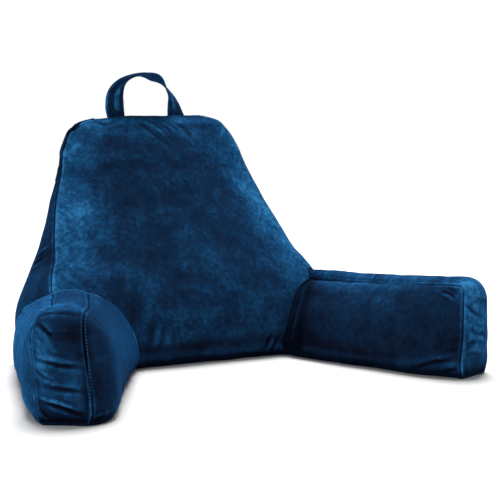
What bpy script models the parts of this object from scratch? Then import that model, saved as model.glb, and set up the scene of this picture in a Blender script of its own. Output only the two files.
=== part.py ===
"""A reading pillow with arms: a wedge-shaped back cushion, two arm cushions sewn to its
lower corners, and a carrying strap over its top edge.

Metres, +Z up. The pillow stands on z = 0 and its seat side faces -Y. The origin is under
the middle of the back cushion. "Left" is -X, the left of someone who looks at the seat side.
"""

from collections import namedtuple
from math import cos, pi, radians, sin

import bmesh
import bpy
import numpy as np
from mathutils import Vector

GAP = 0.0004  # clearance between neighbouring cushions

# Back cushion, cut level at each height. The front panel runs between two seams at
# +-front_half, front_y and swells forward by front_crown at the middle. The rear panel
# runs between seams at +-rear_half, rear_y and swells back by rear_crown.
Slice = namedtuple(
    "Slice", "height front_half front_y front_crown rear_half rear_y rear_crown"
)
BACK_SLICES = (
    Slice(0.000, 0.284, -0.108, -0.021, 0.290, 0.074, 0.000),
    Slice(0.010, 0.298, -0.118, -0.021, 0.305, 0.085, 0.004),
    Slice(0.044, 0.305, -0.112, -0.004, 0.318, 0.095, 0.009),
    Slice(0.088, 0.306, -0.088, 0.017, 0.320, 0.100, 0.014),
    Slice(0.131, 0.303, -0.060, 0.032, 0.312, 0.092, 0.017),
    Slice(0.175, 0.291, -0.025, 0.043, 0.297, 0.086, 0.018),
    Slice(0.210, 0.272, 0.008, 0.051, 0.279, 0.088, 0.019),
    Slice(0.254, 0.260, 0.037, 0.049, 0.262, 0.094, 0.021),
    Slice(0.315, 0.239, 0.079, 0.051, 0.240, 0.112, 0.024),
    Slice(0.376, 0.216, 0.109, 0.046, 0.216, 0.128, 0.024),
    Slice(0.429, 0.201, 0.129, 0.036, 0.201, 0.142, 0.021),
    Slice(0.464, 0.179, 0.141, 0.022, 0.179, 0.150, 0.014),
    Slice(0.482, 0.154, 0.148, 0.010, 0.154, 0.154, 0.007),
    Slice(0.489, 0.124, 0.152, 0.002, 0.124, 0.157, 0.002),
)
BACK_LEVELS = 26
FRONT_STEPS = 26
REAR_STEPS = 18
GUSSET_STEPS = 4
GUSSET_CROWN = 0.07  # of the gusset's own width
PANEL_FULLNESS = 2.3  # higher is flatter in the middle and rounder at the seams

# Arm cushion, a box cushion cut across at three stations: its front end, its root on the
# back cushion, and the tail of its outer panel at the rear corner. Each corner is a plan
# point on the right-hand side, and the walls arch over between their low and high points.
Station = namedtuple("Station", "inner_low inner_high outer_high outer_low seam_height")
ARM_ROOT = Station((0.149, -0.122), (0.233, -0.070), (0.290, -0.032), (0.376, -0.096), 0.150)
ARM_TAIL = Station((0.260, 0.050), (0.250, 0.045), (0.275, 0.065), (0.330, 0.078), 0.128)
ARM_SEAM_HEIGHT = 0.172
ARM_END_WIDTH = 0.086
ARM_BEND_RADIUS = 0.026  # where the boxing strip turns down over the front end
ARM_INNER_CROWN = 0.022
ARM_OUTER_CROWN = 0.021
ARM_WALL_FULLNESS = 4.0
ARM_FLOOR_SWELL = 0.16  # share of the wall height hidden below the floor seam
ARM_STRIP_CROWN = 0.013
ARM_TUCK = 0.010  # how far the floor seam is drawn in under the walls
ARM_TUCK_HEIGHT = 0.024
ARM_LONG_STEPS = 18
ARM_TAIL_STEPS = 5
ARM_BEND_STEPS = 4
ARM_ACROSS_STEPS = 6
ARM_UP_STEPS = 9
ARM_TOP_CROWDING = 0.65  # how much the wall's rows crowd together where it arches over
# A cut through an arm: the stations before and behind it, its share of the way between
# them, how far the strip has turned level there (radians), and whether the root is behind.
Cut = namedtuple("Cut", "near far share turned on_arm")
Arm = namedtuple("Arm", "name side length splay root_height")
ARMS = (
    Arm("arm_left", -1, 0.450, 35.0, 0.147),
    Arm("arm_right", 1, 0.409, 25.0, 0.156),
)

# Carrying strap: its centre line from the left foot over to the right foot. The turn is
# how far its width has twisted from across the pillow (0) to front-to-back (90).
STRAP_WIDTH = 0.040
STRAP_THICKNESS = 0.004
Bend = namedtuple("Bend", "x y z turn")
STRAP_BENDS = (
    Bend(-0.073, 0.1545, 0.4894, 0),
    Bend(-0.073, 0.160, 0.512, 3),
    Bend(-0.070, 0.161, 0.535, 14),
    Bend(-0.058, 0.161, 0.556, 34),
    Bend(-0.038, 0.160, 0.570, 54),
    Bend(-0.012, 0.160, 0.577, 64),
    Bend(0.014, 0.160, 0.573, 62),
    Bend(0.036, 0.161, 0.560, 54),
    Bend(0.054, 0.161, 0.538, 40),
    Bend(0.064, 0.160, 0.512, 20),
    Bend(0.067, 0.1545, 0.4894, 0),
)
STRAP_STEPS = 44

WELD_DISTANCE = 0.00002
CREASE_ANGLE = radians(35)  # the panels meet at their seams at more than this
NAP_ROUGHNESS = 0.9
NAVY = (0.012, 0.050, 0.130, 1.0)
NAVY_ARM = (0.010, 0.042, 0.112, 1.0)
NAVY_STRAP = (0.016, 0.045, 0.105, 1.0)


def clear_scene():
    for leftover in list(bpy.data.objects):
        bpy.data.objects.remove(leftover, do_unlink=True)


def velour(name, colour):
    material = bpy.data.materials.new(name)
    material.use_nodes = True
    shader = material.node_tree.nodes["Principled BSDF"]
    shader.inputs["Base Color"].default_value = colour
    shader.inputs["Roughness"].default_value = NAP_ROUGHNESS
    shader.inputs["Metallic"].default_value = 0.0
    return material


def add_object(name, points, faces, material):
    mesh = bpy.data.meshes.new(name)
    mesh.from_pydata([tuple(point) for point in points], [], faces)
    mesh.materials.append(material)
    build = bmesh.new()
    build.from_mesh(mesh)
    bmesh.ops.remove_doubles(build, verts=build.verts, dist=WELD_DISTANCE)
    bmesh.ops.recalc_face_normals(build, faces=build.faces)
    bmesh.ops.triangulate(build, faces=build.faces, quad_method="FIXED")
    build.to_mesh(mesh)
    build.free()
    mesh.shade_smooth()
    mesh.set_sharp_from_angle(angle=CREASE_ANGLE)
    piece = bpy.data.objects.new(name, mesh)
    bpy.context.scene.collection.objects.link(piece)
    return piece


def smooth_column(rows, column, along, at):
    """A column of the table read at other places, on a smooth curve through its rows."""
    known = np.array([getattr(row, along) for row in rows], float)
    values = np.array([getattr(row, column) for row in rows], float)
    slopes = np.gradient(values, known)
    low = np.clip(np.searchsorted(known, at, side="right") - 1, 0, len(known) - 2)
    span = known[low + 1] - known[low]
    part = (at - known[low]) / span
    keep = 1 - part
    return (
        values[low] * keep**2 * (1 + 2 * part)
        + values[low + 1] * part**2 * (1 + 2 * keep)
        + slopes[low] * span * part * keep**2
        - slopes[low + 1] * span * part**2 * keep
    )


def crown(part, fullness=PANEL_FULLNESS):
    """The swell of a panel, 0 at its two seams (part 0 and 1) and 1 at its middle."""
    return 1 - abs(2 * part - 1) ** fullness


def bridge(first, second, count):
    """Quads between two closed loops, whose points are numbered from first and second."""
    return [
        (first + i, first + (i + 1) % count, second + (i + 1) % count, second + i)
        for i in range(count)
    ]


def back_outline(cut, grow):
    """One level slice of the back cushion, counter-clockwise from its left front seam."""
    outline = []
    front_half = cut["front_half"] + grow
    rear_half = cut["rear_half"] + grow
    front_y = cut["front_y"] - grow
    rear_y = cut["rear_y"] + grow
    for i in range(FRONT_STEPS):
        part = i / FRONT_STEPS
        bow = cut["front_crown"] * crown(part)
        outline.append((front_half * (2 * part - 1), front_y - bow))
    swell = GUSSET_CROWN * (rear_y - front_y)
    for i in range(GUSSET_STEPS):
        part = i / GUSSET_STEPS
        half = front_half + (rear_half - front_half) * part
        outline.append((half + swell * crown(part), front_y + (rear_y - front_y) * part))
    for i in range(REAR_STEPS):
        part = i / REAR_STEPS
        bow = cut["rear_crown"] * crown(part)
        outline.append((rear_half * (1 - 2 * part), rear_y + bow))
    for i in range(GUSSET_STEPS):
        part = 1 - i / GUSSET_STEPS
        half = front_half + (rear_half - front_half) * part
        outline.append((-half - swell * crown(part), front_y + (rear_y - front_y) * part))
    return outline


def back_shape(grow=0.0):
    """Points and faces of the back cushion, standing grow proud of its true surface."""
    first, last = BACK_SLICES[0].height, BACK_SLICES[-1].height
    table_heights = np.array([row.height for row in BACK_SLICES])
    rank = np.linspace(0, len(BACK_SLICES) - 1, BACK_LEVELS)
    heights = np.interp(rank, np.arange(len(BACK_SLICES)), table_heights)
    columns = Slice._fields[1:]
    points = []
    for height in heights:
        cut = {
            name: float(smooth_column(BACK_SLICES, name, "height", height))
            for name in columns
        }
        level = height + grow * (2 * (height - first) / (last - first) - 1)
        points += [(x, y, level) for x, y in back_outline(cut, grow)]
    count = 2 * GUSSET_STEPS + FRONT_STEPS + REAR_STEPS
    faces = [tuple(reversed(range(count)))]
    for i in range(BACK_LEVELS - 1):
        faces += bridge(i * count, (i + 1) * count, count)
    faces.append(tuple(range((BACK_LEVELS - 1) * count, BACK_LEVELS * count)))
    return points, faces


def plan(point, side):
    return Vector((side * point[0], point[1], 0))


def across_and_forward(inner, outer, side):
    """Unit directions at a cut of an arm: from inner to outer wall, and to its front end."""
    outward = (outer - inner).normalized()
    return outward, outward.cross(Vector((0, 0, side)))


def arm_front(arm):
    """The front station of an arm, from its length and how far it is splayed outwards."""
    splay = radians(arm.splay)
    root = Vector(ARM_ROOT.inner_low)
    inner = root + arm.length * Vector((sin(splay), -cos(splay)))
    outer = inner + ARM_END_WIDTH * Vector((cos(splay), sin(splay)))
    return Station(tuple(inner), tuple(inner), tuple(outer), tuple(outer), ARM_SEAM_HEIGHT)


def arch(up):
    """How far a wall has leant over at this share of its height: a quarter ellipse."""
    return 1 - (1 - up * up) ** 0.5


def arm_cuts(arm):
    """Cuts from the front end to the tail, close together where the strip bends down."""
    front = arm_front(arm)
    cuts = []
    root = ARM_ROOT._replace(seam_height=arm.root_height)
    for i in range(ARM_BEND_STEPS):
        turned = pi / 2 * i / ARM_BEND_STEPS
        setback = ARM_BEND_RADIUS * (1 - cos(turned))
        cuts.append(Cut(front, root, setback / arm.length, turned, True))
    first = ARM_BEND_RADIUS / arm.length
    for i in range(ARM_LONG_STEPS):
        share = first + (1 - first) * i / ARM_LONG_STEPS
        cuts.append(Cut(front, root, share, pi / 2, True))
    for i in range(ARM_TAIL_STEPS + 1):
        cuts.append(Cut(root, ARM_TAIL, i / ARM_TAIL_STEPS, pi / 2, False))
    return cuts


def arm_loop(arm, cut):
    """One cut's closed loop: up the inner wall, over the strip, down the outer wall."""
    near, far, share, turned, on_arm = cut
    corner = {}
    for name in Station._fields[:4]:
        before = plan(getattr(near, name), arm.side)
        behind = plan(getattr(far, name), arm.side)
        corner[name] = before.lerp(behind, share)
    seam = near.seam_height + (far.seam_height - near.seam_height) * share
    top = seam - ARM_BEND_RADIUS * (1 - sin(turned))
    outward, forward = across_and_forward(corner["inner_low"], corner["outer_low"], arm.side)
    if on_arm:
        inner_swell = ARM_INNER_CROWN * crown(share, ARM_WALL_FULLNESS)
        outer_swell = ARM_OUTER_CROWN * crown(share / 2, ARM_WALL_FULLNESS)
    else:
        inner_swell = 0.0
        outer_swell = ARM_OUTER_CROWN * (1 - share)
    proud = forward * cos(turned) + Vector((0, 0, sin(turned)))

    def wall(low, high, away, swell, up):
        base = low.lerp(high, arch(up))
        tuck = ARM_TUCK * max(0.0, 1 - up * top / ARM_TUCK_HEIGHT) ** 2
        raised = ARM_FLOOR_SWELL + (1 - ARM_FLOOR_SWELL) * up
        belly = swell * crown(raised, ARM_WALL_FULLNESS)
        return base + away * (belly - tuck) + Vector((0, 0, top * up))

    evenly = [i / ARM_UP_STEPS for i in range(ARM_UP_STEPS + 1)]
    ups = [
        (1 - ARM_TOP_CROWDING) * part + ARM_TOP_CROWDING * sin(pi / 2 * part)
        for part in evenly
    ]
    inner = [wall(corner["inner_low"], corner["inner_high"], -outward, inner_swell, up) for up in ups]
    outer = [wall(corner["outer_low"], corner["outer_high"], outward, outer_swell, up) for up in ups]
    over = []
    under = []
    for i in range(1, ARM_ACROSS_STEPS):
        part = i / ARM_ACROSS_STEPS
        over.append(inner[-1].lerp(outer[-1], part) + proud * (ARM_STRIP_CROWN * crown(part)))
        under.append(outer[0].lerp(inner[0], part))
    return inner + over + outer[::-1] + under


def end_grid(loop, bow):
    """Inside points of an end face, column by column, between its wall points."""
    up = ARM_UP_STEPS
    across = ARM_ACROSS_STEPS
    inner = loop[: up + 1]
    top = loop[up : up + across + 1]
    outer = loop[up + across : 2 * up + across + 1][::-1]
    bottom = [loop[0]] + loop[2 * up + across + 1 :][::-1] + [loop[2 * up + across]]
    inside = {}
    for i in range(1, across):
        part = i / across
        for j in range(1, up):
            rise = (inner[j].z - inner[0].z) / (inner[-1].z - inner[0].z)
            sides = inner[j].lerp(outer[j], part)
            ends = bottom[i].lerp(top[i], rise)
            corners = inner[0].lerp(outer[0], part).lerp(inner[-1].lerp(outer[-1], part), rise)
            inside[i, j] = sides + ends - corners + bow * (crown(part) * crown(rise))
    return inside


def arm_shape(arm):
    """Points and faces of an arm cushion, its rear part still running into the back."""
    loops = [arm_loop(arm, cut) for cut in arm_cuts(arm)]
    count = len(loops[0])
    points = [tuple(point) for loop in loops for point in loop]
    faces = []
    for i in range(len(loops) - 1):
        faces += bridge(i * count, (i + 1) * count, count)
    up = ARM_UP_STEPS
    across = ARM_ACROSS_STEPS
    front = arm_front(arm)
    ends = [plan(point, arm.side) for point in (front.inner_low, front.outer_low)]
    forward = across_and_forward(*ends, arm.side)[1]
    for which, bow in ((0, forward * ARM_STRIP_CROWN), (len(loops) - 1, Vector((0, 0, 0)))):
        inside = end_grid(loops[which], bow)
        first = which * count
        index = {}
        for (i, j), point in inside.items():
            index[i, j] = len(points)
            points.append(tuple(point))
        for j in range(up + 1):
            index[0, j] = first + j
            index[across, j] = first + 2 * up + across - j
        for i in range(1, across):
            index[i, up] = first + up + i
            index[i, 0] = first + count - i
        for i in range(across):
            for j in range(up):
                faces.append((index[i, j], index[i + 1, j], index[i + 1, j + 1], index[i, j + 1]))
    return points, faces


def make_back():
    points, faces = back_shape()
    return add_object("back_cushion", points, faces, velour("velour_back", NAVY))


def make_arm(arm, cutter):
    points, faces = arm_shape(arm)
    piece = add_object(arm.name, points, faces, velour("velour_" + arm.name, NAVY_ARM))
    seat = piece.modifiers.new("seat against the back", "BOOLEAN")
    seat.operation = "DIFFERENCE"
    seat.object = cutter
    return piece


def make_cutter():
    points, faces = back_shape(GAP)
    cutter = add_object("back_clearance", points, faces, velour("helper", NAVY))
    cutter.hide_render = True
    cutter.display_type = "WIRE"
    return cutter


def make_strap():
    rows = len(STRAP_BENDS)
    Numbered = namedtuple("Numbered", ("number",) + Bend._fields)
    table = [Numbered(i, *bend) for i, bend in enumerate(STRAP_BENDS)]
    at = np.linspace(0, rows - 1, STRAP_STEPS + 1)
    x, y, z, turn = (smooth_column(table, name, "number", at) for name in Bend._fields)
    centre = np.stack([x, y, z], axis=1)
    along = np.gradient(centre, axis=0)
    along[0] = (0, 0, 1)  # both feet stand square on the top edge
    along[-1] = (0, 0, -1)
    points = []
    for place, ahead, turned in zip(centre, along, turn):
        ahead = Vector(ahead).normalized()
        twist = radians(turned)
        wide = Vector((cos(twist), sin(twist), 0))
        wide = (wide - ahead * wide.dot(ahead)).normalized()
        thick = ahead.cross(wide) * (STRAP_THICKNESS / 2)
        wide = wide * (STRAP_WIDTH / 2)
        middle = Vector(place)
        points += [middle - wide - thick, middle + wide - thick]
        points += [middle + wide + thick, middle - wide + thick]
    faces = [(3, 2, 1, 0)]
    for i in range(STRAP_STEPS):
        faces += bridge(4 * i, 4 * (i + 1), 4)
    faces.append(tuple(range(4 * STRAP_STEPS, 4 * STRAP_STEPS + 4)))
    return add_object("handle_strap", points, faces, velour("velour_strap", NAVY_STRAP))


def main():
    clear_scene()
    make_back()
    cutter = make_cutter()
    for arm in ARMS:
        make_arm(arm, cutter)
    make_strap()


main()
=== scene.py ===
"""The looks of a reading pillow with arms: a velour back cushion, two box-shaped arm
cushions and a carrying strap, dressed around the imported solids.

Metres, +Z up. The pillow stands on z = 0, its seat side faces -Y, and the origin is under
the middle of the back cushion. Each cushion is an even sheet of quads whose rows follow its
seams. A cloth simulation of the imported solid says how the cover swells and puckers, and the
seams, gathers and creases are pressed in afterwards.
"""

from collections import namedtuple
from math import cos, pi, radians, sin
from types import SimpleNamespace

import bmesh
import bpy
import numpy as np
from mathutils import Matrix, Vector, noise
from mathutils.bvhtree import BVHTree
from mathutils.kdtree import KDTree


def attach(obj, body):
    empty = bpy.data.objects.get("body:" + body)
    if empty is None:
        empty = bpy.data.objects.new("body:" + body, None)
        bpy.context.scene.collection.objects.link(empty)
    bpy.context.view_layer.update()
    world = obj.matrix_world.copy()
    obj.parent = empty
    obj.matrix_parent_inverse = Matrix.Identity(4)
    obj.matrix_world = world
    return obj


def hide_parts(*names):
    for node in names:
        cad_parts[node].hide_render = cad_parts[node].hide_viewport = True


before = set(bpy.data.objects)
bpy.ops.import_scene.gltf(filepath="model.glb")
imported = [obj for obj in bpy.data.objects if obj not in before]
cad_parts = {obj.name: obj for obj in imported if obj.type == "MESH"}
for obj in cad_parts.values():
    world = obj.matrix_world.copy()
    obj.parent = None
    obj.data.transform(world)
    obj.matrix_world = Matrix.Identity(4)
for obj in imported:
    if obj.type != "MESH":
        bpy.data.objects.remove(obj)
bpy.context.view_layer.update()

# --- camera
# The photograph's view: 500 x 500 pixels, where the camera stands and what it looks at.
PHOTO_SIZE = 500
CAMERA_AZIMUTH = radians(-30.59)
CAMERA_ELEVATION = radians(4.75)
CAMERA_DISTANCE = 2.3275
CAMERA_TARGET = Vector((0.0657, -0.1575, 0.2247))
CAMERA_LENS = 86.4
CAMERA_SENSOR = 36.0

# --- sizes of the cushions
# Back cushion, cut level at each height, as in its solid.
BACK_SLICES_MM = (
    # height, then for the front and for the rear panel: half width, y and crown
    (0, 284, -108, -21, 290, 74, 0),
    (10, 298, -118, -21, 305, 85, 4),
    (44, 305, -112, -4, 318, 95, 9),
    (88, 306, -88, 17, 320, 100, 14),
    (131, 303, -60, 32, 312, 92, 17),
    (175, 291, -25, 43, 297, 86, 18),
    (210, 272, 8, 51, 279, 88, 19),
    (254, 260, 37, 49, 262, 94, 21),
    (315, 239, 79, 51, 240, 112, 24),
    (376, 216, 109, 46, 216, 128, 24),
    (429, 201, 129, 36, 201, 142, 21),
    (464, 179, 141, 22, 179, 150, 14),
    (482, 154, 148, 10, 154, 154, 7),
    (489, 124, 152, 2, 124, 157, 2),
)
BACK_LEVELS = 164
BACK_ACROSS = 168
BACK_DEEP = 40
BACK_WIDTH = 0.60
BACK_DEPTH = 0.19
GUSSET_CROWN = 0.07
TOP_SAG = 0.0065  # at its left corner
TOP_PUSH = 0.003  # upwards, on the right
PANEL_FULLNESS = 2.3

Station = namedtuple("Station", "inner_low inner_high outer_high outer_low seam_height")
ARM_ROOT = Station((0.149, -0.122), (0.233, -0.070), (0.290, -0.032), (0.376, -0.096), 0.150)
ARM_TAIL = Station((0.260, 0.050), (0.250, 0.045), (0.275, 0.065), (0.330, 0.078), 0.128)
ARM_SEAM_HEIGHT = 0.172
ARM_END_WIDTH = 0.086
ARM_WALL_FULLNESS = 4.0
ARM_FLOOR_SWELL = 0.24
ARM_STRIP_CROWN = 0.013
ARM_END_TUCK = 0.006
ARM_TUCK_HEIGHT = 0.030
ARM_LONG = 170
ARM_TAIL_LONG = 40
ARM_BEND = 18
ARM_ACROSS = 32
ARM_UP = 66
ARM_TOP_CROWDING = 0.65
ARM_INNER_LEAN = 0.004
INNER_ARCH = 2.0
OUTER_ARCH = 3.6
END_ARCH = 8.0
END_REACH = 0.35
OUTER_FULLNESS = 3.0
OUTER_FLOOR_SWELL = 0.16
OUTER_RISE = 0.35
BELLY_ROUNDNESS = 2.6
LAG_REACH = 0.40
FOOT_HEIGHT = 0.03
FOOT_REACH = 0.03

STRAP_WIDTH = 0.040
STRAP_THICKNESS = 0.004
STRAP_LEAN = -0.46
STRAP_LEAN_PLACE = 0.635
STRAP_LEAN_REACH = 0.09
STRAP_RIM = 0.9  # where its sewn edge is thickest, and where its thread lies
STRAP_STITCH = 0.74
STRAP_BOW = 0.0016
STRAP_CLEARANCE = 0.0004
STRAP_LONG = 150
STRAP_ACROSS = 28
FOOT_SPOTS = (-0.0022, 0.0, 0.0022)
STRAP_BENDS = (
    # x, y, z and turn in degrees, from the left foot to the right one
    (-0.0745, 0.1545, 0.4894, 0),
    (-0.0750, 0.160, 0.512, -5),
    (-0.072, 0.161, 0.535, 8),
    (-0.058, 0.161, 0.556, 34),
    (-0.038, 0.160, 0.570, 54),
    (-0.012, 0.160, 0.577, 64),
    (0.014, 0.160, 0.573, 62),
    (0.036, 0.161, 0.559, 58),
    (0.053, 0.161, 0.537, 54),
    (0.062, 0.160, 0.512, 26),
    (0.065, 0.1545, 0.4894, 0),
)

# --- sewing
SEAM_ROWS = (0.0, 0.0011, 0.0024, 0.0042)  # rows of points beside a seam
SEAM_DEPTH = 0.0017
SEAM_WIDTH = 0.0017
LIP_HEIGHT = 0.0007
LIP_PLACE = 0.0042
LIP_WIDTH = 0.0022
PUCKER = 0.0006
ROUNDING_REACH = 0.009
ROUNDING_ROUNDS = 8

# --- simulation
SIM_FRAMES = 20
SIM_INSET = 0.004
SIM_HELD_HEIGHT = (0.006, 0.016)  # held by the floor below this, and free above that
SIM_CLOTH = {
    "quality": 5, "mass": 0.15, "tension_stiffness": 12, "compression_stiffness": 12,
    "shear_stiffness": 6, "bending_stiffness": 2.0, "use_pressure": True,
    "uniform_pressure_force": 4.0, "vertex_group_mass": "held",
}

# --- creases
# A crease's width and depth in millimetres, then the pixels x, y of the photograph that it
# runs through on its cushion. A depth above zero is a trough with soft lips, and one below
# zero is a raised fold.
BACK_CREASES = (
    # the tuck at the top left corner
    (5, 2.8, 62, 142, 66, 135, 71, 129.5, 77, 125.5, 82, 123),
    # slack below the strap's left foot
    (5, 1.3, 93, 121, 99, 123.5, 106, 124.5, 114, 121.5, 120, 119),
    # folds that fan down from the top seam
    (4.5, -1.2, 140, 119.5, 150, 124.5, 161, 131.5, 169, 139),
    (5, 1.1, 136, 121, 146, 128, 157, 136, 164, 143),
    (4.5, -0.9, 158, 120, 168, 126, 177, 133),
    (6, 0.9, 171, 119, 183, 128, 195, 140),
    # slanting pulls on the left gusset
    (3.5, -1.6, 28, 272, 35, 267, 43, 262),
    (3.5, -1.7, 33, 258, 42, 251, 50, 245),
    (3.5, 1.3, 31, 266, 40, 260, 49, 254),
    # upright folds beside the left arm's root
    (7, -0.7, 160, 318, 158, 336, 153, 352),
    (6.5, 0.4, 151, 314, 151, 334, 148, 352),
    (6.5, -0.5, 169, 322, 167, 338, 161, 353),
    # slanting pulls at the lower right, beside the right arm's root
    (3.5, 1.1, 261, 352, 267, 343, 272, 332),
    (3.5, 1.1, 268, 354, 274, 345, 278, 335),
    (3.5, -0.8, 265, 353, 271, 344, 275, 333),
    # the front panel's lower seam, rolled under towards the floor
    (5, 0.4, 150, 362.5, 190, 357, 250, 353.5, 283, 353),
)
ARM_LEFT_CREASES = (
    # where the boxing strip bends down over the front end
    (3, -1.4, 34, 316, 38, 311, 45, 308.5, 55, 307.8, 66, 308.6, 77, 310.4, 88, 314),
    (3, 1.6, 37, 317, 46, 313.5, 57, 312.8, 70, 313.6, 87, 317.5),
    # the end strip's folds
    (4.5, -1.6, 37, 331, 43, 334, 50, 341),
    (3, 1.2, 34, 324, 40, 325, 47, 331, 52, 340),
    (3.5, 2, 34, 360, 46, 361.6, 57, 364.7, 71, 366.7, 86, 367),
    (4.5, -1.4, 35, 356, 46, 357.5, 58, 360.5, 70, 363),
    (3, 1.3, 35.5, 370, 43, 377, 53, 381.5),
    (3.5, 1.7, 38, 385.5, 53, 388, 71, 390.5, 86, 392),
    (3.2, -2, 37.5, 397, 47, 400.2, 57, 402.2, 67, 405.6, 76, 409),
    (3.6, 2.1, 39.5, 401, 51, 404.6, 65, 409, 77, 413.5, 87, 416),
    # the small loop where strip and wall meet above the floor
    (2.6, 2.3, 39, 417, 42, 421, 47, 421.5),
    (2.4, -1.7, 37.5, 405, 40, 413, 45, 417, 49, 421),
    # ruffles over the floor seam
    (2.6, 1.3, 93, 421, 100, 417.5, 108, 415),
    (2.6, 1.2, 104, 420, 110, 415, 115, 410),
    (2.8, -1, 94, 417, 103, 413, 112, 411),
)
# Fine gathers across the left arm's boxing strip, in millimetres: width, depth, and how far
# from the front end they lie at the inner seam and at the outer one.
ARM_LEFT_GATHERS = (
    (3, 1.7, 36, 31),
    (3.2, -1.3, 46, 44),
    (3.2, 1.8, 60, 66),
    (3.6, -1.3, 82, 79),
    (3.6, 1.6, 104, 112),
    (4.2, 1.2, 150, 143),
)
ARM_RIGHT_CREASES = (
    # a pull across the top strip
    (4, 0.8, 386, 272.5, 379, 274.5, 374, 278.5, 371, 281),
    (4, -0.6, 381, 272, 374, 275, 369, 280),
    # wrinkles at the front top corner
    (3.5, 1.2, 440, 291, 449, 293, 459, 298),
    (3, 1, 446, 288.5, 454, 291, 461, 297),
    (3, -0.8, 432, 289, 446, 295, 457, 304),
    # long pulls towards the front lower corner
    (4, 2.2, 404, 369.5, 416, 367, 427, 364, 434, 361.6, 445, 361, 456, 357.5),
    (4.5, -1.3, 412, 373, 428, 368.5, 444, 365.5, 460, 362),
    (3.2, 2, 438, 374, 448, 370.5, 460, 368.5),
    # dents on the end strip
    (4.5, 1.7, 466, 303, 473, 311, 483, 316),
    (5, -1.3, 467, 311, 474, 319, 485, 322),
    (4, 1.4, 468, 325, 476, 333, 487, 334),
    (4.5, 1.3, 466, 346, 476, 341, 487, 345),
    (4, -1, 466, 352, 475, 349, 486, 353),
)

# The welt where an arm is sewn to the back cushion, and rows of thread: how bright each row
# is, then its pixels.
WELT_SIDES = 6
WELT_RADIUS = 0.0019
THREAD_LENGTH = 0.0030
THREAD_GAP = 0.0022
THREAD_RADIUS = 0.0005
END_THREAD = slice(4, -16)  # the stretch of the front end's outer seam with thread beside it
ARM_LEFT_THREADS = (
    (1.1, 85.2, 318, 85.3, 324, 85.8, 338, 88.1, 356, 89.4, 380, 92, 416),
)
ARM_RIGHT_THREADS = (
    (0.9, 465.5, 305, 465.8, 330, 465, 350, 463.5, 372),
    (0.7, 330, 275.3, 360, 278.5, 400, 281.5, 450, 285),
)
BACK_THREADS = (
    (0.8, 60.5, 190, 58.5, 220, 56, 250, 54, 285),
)

# --- nap and painted light
# How bright the velour is coloured: 0 is dark, 1 bright, from its nap and from painted
# highlights and painted shade. A band's middle and reach are shares of its panel, in its two
# directions, and its strength comes last.
PANEL_NAP_AND_LIGHT = {  # a panel's ground, partly its nap and partly painted light and shade, and its painted highlight along the lips beside its seams
    "front": (0.49, 0.26), "gusset_left": (0.30, 0.10), "gusset_right": (0.45, 0.10),
    "rear": (0.45, 0.20), "inner": (0.38, 0.06), "strip": (0.46, 0.30),
    "outer": (0.62, 0.10), "end": (0.46, 0.30),
}
# painted highlights at the front panel's two sides, its top and the lower left gusset, and
# painted shade along the front panel's lower edge
BACK_PAINTED_LIGHT_BANDS = (
    ("front", 0.00, 0.14, 0.60, 0.36, 0.38),
    ("front", 1.00, 0.09, 0.62, 0.36, 0.62),
    ("front", 0.50, 0.90, 1.00, 0.06, 0.08),
    ("front", 0.50, 0.90, 0.00, 0.10, -0.31),
    ("gusset_left", 0.60, 0.60, 0.15, 0.20, 0.12),
)
# painted shade low on the inner walls, at the top of the front ends and where the strips meet the
# front ends
ARM_PAINTED_LIGHT_BANDS = (
    ("inner", 0.40, 0.60, 0.00, 0.30, -0.20),
    ("end", 0.60, 0.90, 1.00, 0.34, -0.12),
    ("strip", 0.00, 0.06, 0.50, 2.00, -0.06),
)
# Painted highlights and painted shade laid along lines over the nap: reach in millimetres,
# strength, and pixels of the photograph.
BACK_PAINTED_LIGHT_STROKES = (
    # painted shade in the tuck at the top left corner
    (7, -0.5, 62, 141, 66, 134, 72, 128, 79, 123.5),
    (26, 0.14, 66, 196, 72, 212, 80, 208),
    (26, 0.12, 64, 240, 74, 252, 82, 262),
    (18, 0.14, 72, 143, 76, 152, 84, 158),
    (18, 0.14, 86, 125, 92, 132, 99, 130),
    (14, 0.12, 106, 119, 116, 121, 125, 121),
    (16, 0.1, 164, 117, 176, 118, 190, 121),
    (30, 0.1, 214, 146, 226, 166, 238, 186),
    (26, 0.14, 243, 190, 253, 212, 262, 232),
    (26, 0.12, 272, 254, 284, 268, 292, 280),
    (30, -0.1, 62, 172, 70, 174, 84, 178),
    (50, -0.04, 112, 160, 140, 200, 150, 240),
    (36, -0.08, 150, 262, 170, 276, 182, 292),
    (30, -0.1, 100, 280, 122, 292, 136, 312),
    (40, 0.04, 196, 250, 220, 262, 238, 290),
)
ARM_LEFT_PAINTED_LIGHT_STROKES = (
    (16, 0.34, 37, 334, 41, 344, 48, 356),
    (12, 0.2, 36, 366, 42, 374, 46, 378),
    (34, -0.14, 100, 330, 116, 350, 110, 385),
    (30, -0.1, 124, 328, 132, 345, 127, 372),
    (18, -0.24, 42, 319, 56, 322, 72, 321),
    # painted shade along the left arm's inner seam
    (5, -0.26, 82.6, 314, 82.2, 320, 82.4, 326, 82.6, 332, 82.8, 338, 83.4, 344, 84, 350,
     84.7, 356, 85.2, 362, 85.7, 368, 86.2, 374, 86.7, 380, 87, 386, 87.5, 392, 87.9, 398,
     88.3, 404, 88.8, 410),
    (24, -0.09, 74, 330, 76, 350, 74, 362),
    (14, 0.12, 52, 306, 64, 304, 78, 305),
    (12, 0.12, 38, 396, 50, 400, 62, 404),
    (20, -0.08, 60, 394, 74, 396, 82, 398),
    (20, -0.1, 46, 412, 62, 416, 80, 420),
)
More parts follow.
